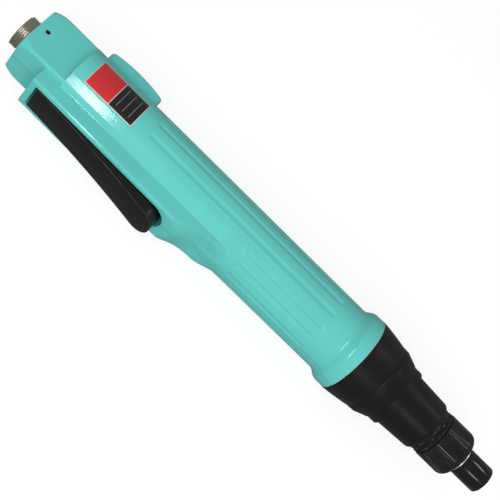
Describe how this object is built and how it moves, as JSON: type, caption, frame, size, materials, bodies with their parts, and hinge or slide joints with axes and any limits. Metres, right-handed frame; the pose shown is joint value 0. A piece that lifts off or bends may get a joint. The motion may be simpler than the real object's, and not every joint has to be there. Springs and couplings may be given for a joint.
{
  "type": "electric torque screwdriver",
  "caption": "Straight lever-start electric torque screwdriver: teal housing with start lever and direction switch, black torque nose with its nut, hexagon bit coupler, threaded power socket.",
  "frame": {"origin": "centre of the hexagon bit socket's mouth, on the spindle axis", "axes": "+X along the spindle, the way a bit leaves; +Z the label side; -Y the start lever's side"},
  "size_m": [0.2867, 0.0502, 0.04],
  "materials": {
    "teal_shell": "glossy moulded teal plastic",
    "black_lever": "satin black plastic",
    "black_nose": "satin black moulded plastic",
    "black_metal": "blackened metal",
    "label": "red and black printed foil, no text",
    "nickel": "nickel plate",
    "steel": "machined steel",
    "spring_steel": "spring steel",
    "bronze": "sintered bronze",
    "copper": "copper",
    "gold_pin": "gilt contact",
    "insulator": "insulating plastic",
    "board_green": "circuit board laminate",
    "magnet": "ferrite magnet",
    "carbon": "carbon brush",
    "white_plastic": "plain moulded plastic"
  },
  "bodies": {
    "housing": {"housing_top": "teal_shell", "housing_bottom": "teal_shell", "housing_screws": "steel", "label_plate": "label", "connector_shell": "nickel", "connector_insert": "insulator", "connector_pins": "gold_pin", "connector_screw": "steel", "circuit_board": "board_green", "board_parts": "insulator", "lever_pin": "steel", "lever_spring": "spring_steel", "start_switch": "insulator", "direction_switch": "insulator", "motor_can": "steel", "motor_magnets": "magnet", "motor_end_cap": "white_plastic", "motor_brushes": "carbon", "motor_bearings": "steel", "motor_plate": "steel", "motor_screws": "steel", "gear_case": "steel", "ring_gear": "steel", "bearing_outer_race": "steel", "torque_spring": "spring_steel", "nose_collar": "black_nose", "nose_tube": "black_nose"},
    "lever": {"lever": "black_lever"},
    "plunger": {"switch_plunger": "white_plastic"},
    "rocker": {"direction_rocker": "black_lever"},
    "rotor": {"motor_shaft": "steel", "rotor_core": "steel", "rotor_windings": "copper", "commutator": "copper", "sun_gear": "steel"},
    "first_stage": {"first_carrier": "steel", "first_planet_pins": "steel"},
    "spindle": {"spindle": "steel", "second_carrier": "steel", "second_planet_pins": "steel", "bearing_inner_race": "steel", "coupler_washer": "nickel", "retaining_ring": "spring_steel", "coupler_spring": "spring_steel"},
    "bearing_cage": {"bearing_balls": "nickel"},
    "clutch": {"clutch_balls": "nickel", "pressure_plate": "steel", "push_sleeve": "steel"},
    "seat": {"spring_seat": "steel", "spindle_bush": "bronze"},
    "nut": {"torque_nut": "black_nose"},
    "coupler": {"coupler": "black_metal"},
    "lock_ball": {"lock_ball": "nickel"},
    "first_planet_1": {"first_planet_1": "steel"},
    "first_planet_2": {"first_planet_2": "steel"},
    "first_planet_3": {"first_planet_3": "steel"},
    "second_planet_1": {"second_planet_1": "steel"},
    "second_planet_2": {"second_planet_2": "steel"},
    "second_planet_3": {"second_planet_3": "steel"}
  },
  "joints": [
    {"name": "lever_press", "type": "hinge", "parent": "housing", "child": "lever", "pos_m": [-0.2585, -0.0175, 0], "axis": [0, 0, 1], "range_deg": [0, 4.6], "stiffness_Nm_per_rad": 1.5, "springref_deg": -5.73, "deforming": ["lever_spring"]},
    {"name": "plunger_slide", "type": "slide", "parent": "housing", "child": "plunger", "axis": [0, 1, 0], "range_m": [0, 0.0022]},
    {"name": "direction_select", "type": "hinge", "parent": "housing", "child": "rocker", "pos_m": [-0.23785, 0.0146, 0], "axis": [0, 0, 1], "range_deg": [-7, 7]},
    {"name": "motor_spin", "type": "hinge", "parent": "housing", "child": "rotor", "pos_m": [-0.1364, 0, 0], "axis": [1, 0, 0], "continuous": true},
    {"name": "first_stage_spin", "type": "hinge", "parent": "housing", "child": "first_stage", "pos_m": [-0.1255, 0, 0], "axis": [1, 0, 0], "continuous": true},
    {"name": "spindle_spin", "type": "hinge", "parent": "housing", "child": "spindle", "pos_m": [0, 0, 0], "axis": [1, 0, 0], "continuous": true},
    {"name": "bearing_cage_spin", "type": "hinge", "parent": "housing", "child": "bearing_cage", "pos_m": [-0.1095, 0, 0], "axis": [1, 0, 0], "continuous": true},
    {"name": "clutch_lift", "type": "slide", "parent": "housing", "child": "clutch", "axis": [1, 0, 0], "range_m": [0, 0.0005], "stiffness_N_per_m": 5000, "springref_m": -0.004, "deforming": ["torque_spring"]},
    {"name": "nut_travel", "type": "slide", "parent": "housing", "child": "seat", "axis": [1, 0, 0], "range_m": [0, 0.002], "deforming": ["torque_spring"]},
    {"name": "nut_turn", "type": "hinge", "parent": "seat", "child": "nut", "pos_m": [-0.0164, 0, 0], "axis": [1, 0, 0], "range_deg": [0, 720]},
    {"name": "coupler_pull", "type": "slide", "parent": "spindle", "child": "coupler", "axis": [1, 0, 0], "range_m": [0, 0.003], "stiffness_N_per_m": 800, "springref_m": -0.003, "deforming": ["coupler_spring"]},
    {"name": "ball_release", "type": "slide", "parent": "spindle", "child": "lock_ball", "axis": [0, 0, 1], "range_m": [0, 0.00052]},
    {"name": "first_planet_1_spin", "type": "hinge", "parent": "first_stage", "child": "first_planet_1", "pos_m": [-0.1293, 0.00743, 0], "axis": [1, 0, 0], "continuous": true},
    {"name": "first_planet_2_spin", "type": "hinge", "parent": "first_stage", "child": "first_planet_2", "pos_m": [-0.1293, -0.00371, 0.00643], "axis": [1, 0, 0], "continuous": true},
    {"name": "first_planet_3_spin", "type": "hinge", "parent": "first_stage", "child": "first_planet_3", "pos_m": [-0.1293, -0.00371, -0.00643], "axis": [1, 0, 0], "continuous": true},
    {"name": "second_planet_1_spin", "type": "hinge", "parent": "spindle", "child": "second_planet_1", "pos_m": [-0.118, 0.00743, 0], "axis": [1, 0, 0], "continuous": true},
    {"name": "second_planet_2_spin", "type": "hinge", "parent": "spindle", "child": "second_planet_2", "pos_m": [-0.118, -0.00371, 0.00643], "axis": [1, 0, 0], "continuous": true},
    {"name": "second_planet_3_spin", "type": "hinge", "parent": "spindle", "child": "second_planet_3", "pos_m": [-0.118, -0.00371, -0.00643], "axis": [1, 0, 0], "continuous": true}
  ],
  "couplings": [
    {"joint": "plunger_slide", "follows": "lever_press", "m_per_rad": 0.026473},
    {"joint": "first_stage_spin", "follows": "motor_spin", "ratio": 0.22222},
    {"joint": "spindle_spin", "follows": "motor_spin", "ratio": 0.049383},
    {"joint": "bearing_cage_spin", "follows": "motor_spin", "ratio": 0.020782},
    {"joint": "nut_travel", "follows": "nut_turn", "m_per_rad": 0.00015915},
    {"joint": "ball_release", "follows": "coupler_pull", "ratio": 0.17},
    {"joint": "first_planet_1_spin", "follows": "motor_spin", "ratio": -0.62222},
    {"joint": "first_planet_2_spin", "follows": "motor_spin", "ratio": -0.62222},
    {"joint": "first_planet_3_spin", "follows": "motor_spin", "ratio": -0.62222},
    {"joint": "second_planet_1_spin", "follows": "motor_spin", "ratio": -0.13827},
    {"joint": "second_planet_2_spin", "follows": "motor_spin", "ratio": -0.13827},
    {"joint": "second_planet_3_spin", "follows": "motor_spin", "ratio": -0.13827}
  ]
}
